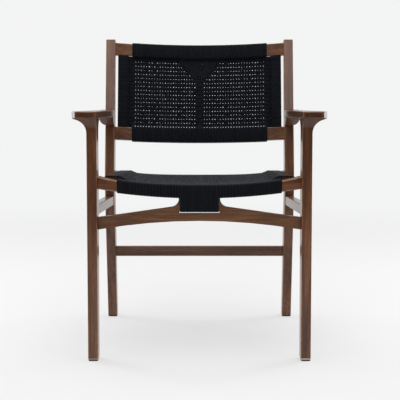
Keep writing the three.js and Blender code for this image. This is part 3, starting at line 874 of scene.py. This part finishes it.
def back_warp(back, x, from_height=None):
    """A cord up the back at x: round the lower rail, up through the weave, round the top rail.

    A cord that starts higher up comes forward between the others at `from_height`.
    """
    front, rear, middle = -OFF, back.thickness + OFF, back.middle
    start = back.high if from_height is None else from_height
    heights = np.arange(start, back.top_low, ROW / STEPS_PER_ROW)
    weave = -LIFT * flat_wave(back.row_index(heights)) * over_under(column_index(x))
    weave = np.where(heights > back.v_edge(x), -LIFT, weave)
    if abs(x) > back.wrap_half:  # beside the wrapping a cord ends under the bare rails
        route = np.stack((middle + weave, heights), 1)
        return back.place(x + sway(heights, HIDDEN_SWAY), route[:, 0], route[:, 1]), WRAP_WIDTH
    if from_height is not None:
        weave = LIFT * (1 - 2 * smooth((heights - start) / FROM_BAR))
    edge = np.minimum(heights - back.high, back.top_low - heights)
    depths = front + (middle + weave - front) * smooth(edge / FROM_BACK_RAIL)
    top = [(front, back.top_low), (front, back.top_high + OFF), (rear, back.top_high + OFF),
           (rear, back.top_low - OFF), (middle + CORD, back.top_low - OFF)]
    parts = [np.stack((depths, heights), 1), rounded(top, TURN)]
    if from_height is None:
        low = [(middle + CORD, back.high + OFF), (rear, back.high + OFF), (rear, back.low - OFF),
               (front, back.low - OFF), (front, back.high - 2 * MM)]
        parts.insert(0, rounded(low, TURN))
    route = np.concatenate(parts)
    woven = smooth(np.minimum(route[:, 1] - back.high, back.top_low - route[:, 1]) / SPREAD)
    xs = x + sway(route[:, 1], COLUMN_SWAY) * woven
    return back.place(xs, route[:, 0], route[:, 1]), cord_width(woven)


def across_points(half):
    """Even places from -half to half, an odd number of them."""
    return np.linspace(-half, half, 2 * int(half / (COLUMN / STEPS_PER_COLUMN)) + 1)


def back_weft(back, height):
    """A cord across the back: round one side bar, through the weave, round the other bar."""
    x0, x1, bar_front, bar_rear = back.bar
    front, rear = bar_front - OFF, bar_rear + OFF
    xs = across_points(x0)
    row = over_under(back.row_index(height))
    weave = LIFT * flat_wave(column_index(xs)) * row
    weave = np.where(height > back.v_edge(xs), LIFT, weave)
    depths = front + (back.middle + weave - front) * smooth((x0 - np.abs(xs)) / FROM_BAR)
    turn = rounded([(x0 + MM, front), (x1 + OFF, front), (x1 + OFF, rear), (x0 - OFF, rear),
                    (x0 - OFF, back.middle + CORD)], TURN)
    route = np.concatenate((turn[::-1] * (-1, 1), np.stack((xs, depths), 1), turn))
    woven = smooth((x0 - np.abs(route[:, 0])) / SPREAD)
    heights = height + sway(route[:, 0], ROW_SWAY) * woven
    return back.place(route[:, 0], route[:, 1], heights), cord_width(woven)


def back_warps(back):
    """The cords up the back, and the short ones that fill the wrapping of the rails at each gap."""
    warps = Cords()
    for x, is_gap in column_cords(back.half):
        if not is_gap:
            route, width = back_warp(back, x)
            warps.add(route, X, width=width)
            continue
        rails = [(back.low, back.high)]
        if back.v_edge(x) < back.top_low - ROW:
            route, width = back_warp(back, x, back.v_edge(x) - V_START)
            warps.add(route, X, width=width)
        else:
            rails.append((back.top_low, back.top_high))
        for low, high in rails:
            loop = wrapping(-OFF, back.thickness + OFF, low - OFF, high + OFF)
            warps.add(back.place(x, loop[:, 0], loop[:, 1]), X, closed=True)
    return warps


def back_wefts(back):
    """The cords across the back, and the short ones that fill the wrapping of the side bars."""
    wefts = Cords()
    x0, x1, front, rear = back.bar
    loop = rounded([(x0 - OFF, front - OFF), (x1 + OFF, front - OFF), (x1 + OFF, rear + OFF),
                    (x0 - OFF, rear + OFF)], TURN, closed=True)
    last_gap = back.first_row + (ROWS_BACK - 1) * ROW
    for height, is_gap in row_cords(back.first_row, ROWS_BACK, back.high, back.top_low):
        if is_gap or height < back.first_row or height > last_gap + ROW:
            for sign in (-1, 1):
                wefts.add(back.place(sign * loop[:, 0], loop[:, 1], height), sign * UP_BACK, closed=True)
        else:
            route, width = back_weft(back, height)
            wefts.add(route, UP_BACK, width=width)
    return wefts


def add_back_cords(material):
    back = Back()
    warps, wefts = back_warps(back), back_wefts(back)
    warps.piece("back_warp_cords", material,
                ["back_cord_field", "back_top_cord_wrap", "back_lower_cord_wrap"])
    wefts.piece("back_weft_cords", material, ["back_side_cord_wrap_left", "back_side_cord_wrap_right"])


# ---- the seat ----------------------------------------------------------------------------------

BAR_RISE = 32 * MM  # the width over which the weave climbs to the side bars
GRID_STEPS = 24
GRID_INSET = 0.05 * MM
SEAT_FIRST_ROW = 4 * MM  # behind the front of the CAD field
CORD_END = 3 * MM  # how far below a rail's top a cord's hidden end stops
BAR_CORD_END = 7 * MM
SEAT_WRAP_MARGIN = 0.6 * MM  # from the rails to the nearest cords on the side bars


class Seat:
    """The seat's rails and side bars, and the height of its woven surface."""

    def __init__(self):
        self.front_rail = Sections("seat_front_rail", X, Y, Z)
        self.rear_rail = Sections("seat_rear_rail", X, Y, Z)
        self.bar = Sections("seat_side_bar_right", Y, X, Z)
        self.low, self.high = (np.array(c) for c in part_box("seat_cord_field"))
        self.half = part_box("seat_front_cord_wrap_right")[1].x
        self.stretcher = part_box("front_stretcher")
        self.centre_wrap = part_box("seat_front_cord_wrap_centre")
        self.bar_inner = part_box("seat_side_bar_right")[0].x
        self.bar_ys = (self.bar.low + TENON_LENGTH, self.bar.high - TENON_LENGTH)
        self.bar_tops = [self.bar.at(y)[3] + OFF for y in self.bar_ys]
        self.first_row = self.low[1] + SEAT_FIRST_ROW
        self.rows = int((self.high[1] - self.first_row) / ROW) + 1
        self.top = self.top_grid()

    def top_grid(self):
        """Heights of the CAD field's top face on an even grid."""
        corners = triangles("seat_cord_field").reshape(-1, 3)
        tree = BVHTree.FromPolygons(corners.tolist(),
                                    [(i, i + 1, i + 2) for i in range(0, len(corners), 3)])
        self.xs, self.ys = (
            np.linspace(self.low[axis] + GRID_INSET, self.high[axis] - GRID_INSET, GRID_STEPS + 1)
            for axis in (0, 1)
        )
        return np.array([[tree.ray_cast(Vector((x, y, 1)), Vector((0, 0, -1)))[0].z for y in self.ys]
                         for x in self.xs])

    def middle(self, x, y):
        """Height of the weave's middle surface; x or y may be an array.

        It follows the CAD field, and rises to the side bars along its edges.
        """
        x, y = np.broadcast_arrays(x, y)
        i = np.clip((x - self.xs[0]) / (self.xs[1] - self.xs[0]), 0, len(self.xs) - 1.001)
        j = np.clip((y - self.ys[0]) / (self.ys[1] - self.ys[0]), 0, len(self.ys) - 1.001)
        a, b = i.astype(int), j.astype(int)
        s, t = i - a, j - b
        near = self.top[a, b] * (1 - s) + self.top[a + 1, b] * s
        far = self.top[a, b + 1] * (1 - s) + self.top[a + 1, b + 1] * s
        field = near * (1 - t) + far * t - CORD
        bar = np.interp(y, self.bar_ys, self.bar_tops)
        return field + (bar - field) * smooth(1 - (self.bar_inner - np.abs(x)) / BAR_RISE)


def front_turn(seat, x):
    """Corners (y, z) of the cord's way round the front rail, and at the middle the stretcher too."""
    y0, y1, z0, z1 = seat.front_rail.at(x)
    top = (y0 - OFF, z1 + OFF)
    if abs(x) < seat.centre_wrap[1].x:
        inside, outside = seat.stretcher[1].y + OFF, seat.stretcher[0].y - OFF
        slot = seat.centre_wrap[0].z + CORD / 2
        return [(inside, z1 - CORD_END), (inside, slot), (outside, slot), (y0 - OFF, z0 - MM), top]
    return [(y1 + OFF, z1 - CORD_END), (y1 + OFF, z0 - OFF), (y0 - OFF, z0 - OFF), top]


def seat_warp(seat, x):
    """A cord from front to rear at x: round the front rail, through the weave, round the rear rail."""
    front = front_turn(seat, x)
    top_front = front[-1][1]
    y0, y1, z0, z1 = seat.rear_rail.at(x)
    front_edge = seat.front_rail.at(x)[1]
    ys = np.arange(front_edge, y0, ROW / STEPS_PER_ROW)
    share = (ys - front_edge) / (y0 - front_edge)
    rails = top_front * (1 - share) + (z1 + OFF) * share
    weave = LIFT * flat_wave((ys - seat.first_row) / ROW) * over_under(column_index(x))
    blend = smooth(np.minimum(ys - front_edge, y0 - ys) / FROM_SEAT_RAIL)
    heights = rails + (seat.middle(x, ys) + weave - rails) * blend
    rear = [(y0 + MM, z1 + OFF), (y1 + OFF, z1 + OFF), (y1 + OFF, z0 - OFF), (y0 - OFF, z0 - OFF),
            (y0 - OFF, z1 - CORD_END)]
    route = np.concatenate((rounded(front + [(front_edge - MM, top_front)], TURN),
                            np.stack((ys, heights), 1), rounded(rear, TURN)))
    woven = smooth(np.minimum(route[:, 0] - front_edge, y0 - route[:, 0]) / SEAT_SPREAD)
    xs = x + sway(route[:, 0], COLUMN_SWAY) * woven
    return np.stack((xs, route[:, 0], route[:, 1]), 1), cord_width(woven)


def seat_loops(seat, x):
    """The extra cords that close the wrapping on the two rails where the weave has a gap."""
    front = front_turn(seat, x)
    front[0] = (front[0][0], front[-1][1])
    y0, y1, z0, z1 = seat.rear_rail.at(x)
    rear = wrapping(y0 - OFF, y1 + OFF, z0 - OFF, z1 + OFF)
    for loop in (rounded(front, TURN, closed=True), rear):
        yield np.stack((np.full(len(loop), x), loop[:, 0], loop[:, 1]), 1)


def bar_corners(seat, y):
    """The wrapped section of the right side bar at y: its limits in x and z."""
    x0, x1, z0, z1 = seat.bar.at(y)
    return x0 - OFF, x1 + OFF, z0 - OFF, z1 + OFF


def seat_weft(seat, y):
    """A cord across the seat at y: round one side bar, through the weave, round the other bar."""
    x0, x1, z0, z1 = bar_corners(seat, y)
    xs = across_points(x0)
    row = over_under((y - seat.first_row) / ROW)
    weave = -LIFT * flat_wave(column_index(xs)) * row
    heights = z1 + (seat.middle(xs, y) + weave - z1) * smooth((x0 - np.abs(xs)) / FROM_BAR)
    turn = rounded([(x0 + 2 * MM, z1), (x1, z1), (x1, z0), (x0, z0), (x0, z1 - BAR_CORD_END)], TURN)
    route = np.concatenate((turn[::-1] * (-1, 1), np.stack((xs, heights), 1), turn))
    woven = smooth((x0 - np.abs(route[:, 0])) / SPREAD)
    ys = y + sway(route[:, 0], ROW_SWAY) * woven
    return np.stack((route[:, 0], ys, route[:, 1]), 1), cord_width(woven)


def bar_loop(seat, y, sign):
    """A cord round one side bar at y, which fills its wrapping."""
    x0, x1, z0, z1 = bar_corners(seat, y)
    loop = rounded([(x0, z0), (x1, z0), (x1, z1), (x0, z1)], TURN, closed=True)
    return np.stack((sign * loop[:, 0], np.full(len(loop), y), loop[:, 1]), 1)


def seat_warps(seat):
    """The cords from front to rear, in a left and a right bundle."""
    warps = {side: Cords() for side in SIDES}
    for x, is_gap in column_cords(seat.half):
        bundle = warps["left" if x < 0 else "right"]
        if is_gap:
            for loop in seat_loops(seat, x):
                bundle.add(loop, -X, closed=True)
        else:
            route, width = seat_warp(seat, x)
            bundle.add(route, -X, width=width)
    return warps


def seat_wefts(seat):
    """The cords across the seat, in a front and a rear bundle."""
    wefts = {half: Cords() for half in ("front", "rear")}
    middle = (seat.low[1] + seat.high[1]) / 2
    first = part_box("seat_front_rail")[1].y - SEAT_WRAP_MARGIN
    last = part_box("seat_rear_rail")[0].y + SEAT_WRAP_MARGIN
    for y, is_gap in row_cords(seat.first_row, seat.rows, first, last):
        bundle = wefts["front" if y < middle else "rear"]
        if is_gap or not seat.low[1] < y < seat.high[1]:
            for sign in (-1, 1):
                bundle.add(bar_loop(seat, y, sign), sign * Y, closed=True)
        else:
            route, width = seat_weft(seat, y)
            bundle.add(route, Y, width=width)
    return wefts


def add_seat_cords(material):
    seat = Seat()
    warps, wefts = seat_warps(seat), seat_wefts(seat)
    warps["left"].piece("seat_warp_cords_left", material,
                        ["seat_front_cord_wrap_left", "seat_front_cord_wrap_centre"])
    warps["right"].piece("seat_warp_cords_right", material,
                         ["seat_front_cord_wrap_right", "seat_rear_cord_wrap"])
    wefts["front"].piece("seat_weft_cords_front", material,
                         ["seat_cord_field", "seat_side_cord_wrap_left"])
    wefts["rear"].piece("seat_weft_cords_rear", material, ["seat_side_cord_wrap_right"])


# ---- the scene ---------------------------------------------------------------------------------

add_camera()
add_world()
add_lights()
add_floor()
add_wood()
finish_cad_nodes()
cord = paper_cord()
add_back_cords(cord)
add_seat_cords(cord)
bpy.context.scene.view_settings.view_transform = "Standard"

bpy.context.view_layer.update()
